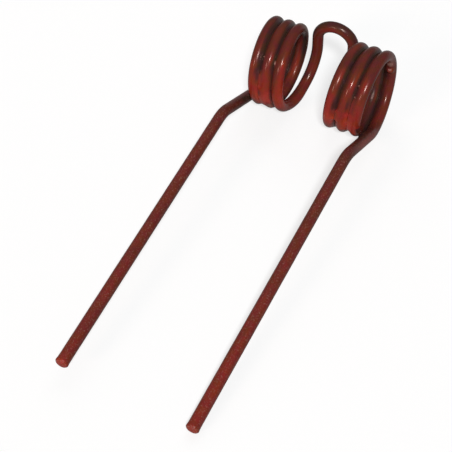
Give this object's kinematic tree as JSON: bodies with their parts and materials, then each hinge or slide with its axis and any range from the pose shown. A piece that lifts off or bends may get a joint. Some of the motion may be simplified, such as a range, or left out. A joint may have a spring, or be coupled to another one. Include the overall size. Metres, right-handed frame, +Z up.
{
  "type": "baler pick-up tine",
  "caption": "Double torsion spring tine bent from round steel wire: straight legs with knees, coils of opposite hand and a hairpin loop between them, in glossy lacquer.",
  "frame": {"origin": "on the coils' common axis, midway between the legs", "axes": "+X along the coils' axis, -Y towards the tips of the legs, +Z up from the level surface that the tine lies on"},
  "size_m": [0.0697, 0.2195, 0.044],
  "materials": {
    "lacquer": "thin glossy red-brown dip lacquer over dark spring steel"
  },
  "bodies": {
    "root": {"spring_tine": "lacquer"}
  },
  "joints": []
}
